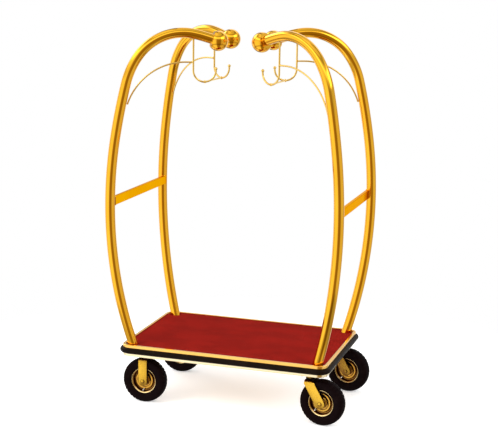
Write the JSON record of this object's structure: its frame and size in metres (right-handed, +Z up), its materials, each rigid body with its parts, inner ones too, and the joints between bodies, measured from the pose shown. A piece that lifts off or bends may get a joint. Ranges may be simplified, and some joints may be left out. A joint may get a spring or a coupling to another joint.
{
  "type": "hotel luggage cart",
  "caption": "Arched-tube hotel luggage cart: carpeted deck with a bumper, ball-ended uprights with coat hooks, push bars, rigid and swivel wheels.",
  "frame": {"origin": "on the floor under the middle of the deck", "axes": "+X towards the end with the swivel wheels, +Y towards the rear side, +Z up"},
  "size_m": [1.1801, 0.7194, 1.821],
  "materials": {
    "gold_trim": "polished gold plating",
    "gold_tube": "mirror-polished gold plating",
    "gold_rod": "polished gold plating",
    "gold_caster": "satin gold plating",
    "gold_rim": "gold plating",
    "plywood": "raw",
    "carpet": "cut pile",
    "bumper_rubber": "semi-matt",
    "tyre_rubber": "matt",
    "black_seal": "matt",
    "bare_steel": "zinc plated",
    "dark_steel": "oiled",
    "valve_metal": "bright"
  },
  "bodies": {
    "cart_frame": {"deck_frame": "gold_trim", "deck_board": "plywood", "deck_carpet": "carpet", "deck_bumper": "bumper_rubber", "cross_rail_left": "bare_steel", "cross_rail_right": "bare_steel", "upright_front_left": "gold_tube", "upright_rear_left": "gold_tube", "upright_front_right": "gold_tube", "upright_rear_right": "gold_tube", "ball_finial_front_left": "gold_tube", "ball_finial_rear_left": "gold_tube", "ball_finial_front_right": "gold_tube", "ball_finial_rear_right": "gold_tube", "hook_front_left": "gold_rod", "hook_brace_front_left": "gold_rod", "hook_rear_left": "gold_rod", "hook_brace_rear_left": "gold_rod", "hook_front_right": "gold_rod", "hook_brace_front_right": "gold_rod", "hook_rear_right": "gold_rod", "hook_brace_rear_right": "gold_rod", "hook_link_left": "gold_rod", "push_bar_left": "gold_tube", "hook_link_right": "gold_rod", "push_bar_right": "gold_tube", "caster_plate_front_left": "gold_caster", "caster_plate_rear_left": "gold_caster", "caster_plate_front_right": "gold_caster", "caster_plate_rear_right": "gold_caster", "swivel_raceway_front": "gold_caster", "swivel_seal_front": "black_seal", "kingpin_front": "dark_steel", "rigid_fork_front": "gold_caster", "swivel_raceway_rear": "gold_caster", "swivel_seal_rear": "black_seal", "kingpin_rear": "dark_steel", "rigid_fork_rear": "gold_caster", "axle_front_left": "gold_caster", "axle_rear_left": "gold_caster"},
    "swivel_front": {"swivel_fork_front": "gold_caster", "axle_front_right": "gold_caster"},
    "swivel_rear": {"swivel_fork_rear": "gold_caster", "axle_rear_right": "gold_caster"},
    "wheel_front_left": {"rim_front_left": "gold_rim", "tyre_front_left": "tyre_rubber", "hub_bearing_front_left": "bare_steel", "valve_front_left": "valve_metal"},
    "wheel_rear_left": {"rim_rear_left": "gold_rim", "tyre_rear_left": "tyre_rubber", "hub_bearing_rear_left": "bare_steel", "valve_rear_left": "valve_metal"},
    "wheel_front_right": {"rim_front_right": "gold_rim", "tyre_front_right": "tyre_rubber", "hub_bearing_front_right": "bare_steel", "valve_front_right": "valve_metal"},
    "wheel_rear_right": {"rim_rear_right": "gold_rim", "tyre_rear_right": "tyre_rubber", "hub_bearing_rear_right": "bare_steel", "valve_rear_right": "valve_metal"}
  },
  "joints": [
    {"name": "swivel_turn_front", "type": "hinge", "parent": "cart_frame", "child": "swivel_front", "pos_m": [0.4277, -0.2587, 0.2172], "axis": [0, 0, 1], "continuous": true},
    {"name": "swivel_turn_rear", "type": "hinge", "parent": "cart_frame", "child": "swivel_rear", "pos_m": [0.4277, 0.2587, 0.2172], "axis": [0, 0, 1], "continuous": true},
    {"name": "wheel_spin_front_left", "type": "hinge", "parent": "cart_frame", "child": "wheel_front_left", "pos_m": [-0.414, -0.2494, 0.11], "axis": [0, 1, 0], "continuous": true},
    {"name": "wheel_spin_rear_left", "type": "hinge", "parent": "cart_frame", "child": "wheel_rear_left", "pos_m": [-0.414, 0.2494, 0.11], "axis": [0, 1, 0], "continuous": true},
    {"name": "wheel_spin_front_right", "type": "hinge", "parent": "swivel_front", "child": "wheel_front_right", "pos_m": [0.48874, -0.26837, 0.11], "axis": [0.1564, 0.9877, 0], "continuous": true},
    {"name": "wheel_spin_rear_right", "type": "hinge", "parent": "swivel_rear", "child": "wheel_rear_right", "pos_m": [0.48874, 0.24903, 0.11], "axis": [0.1564, 0.9877, 0], "continuous": true}
  ]
}
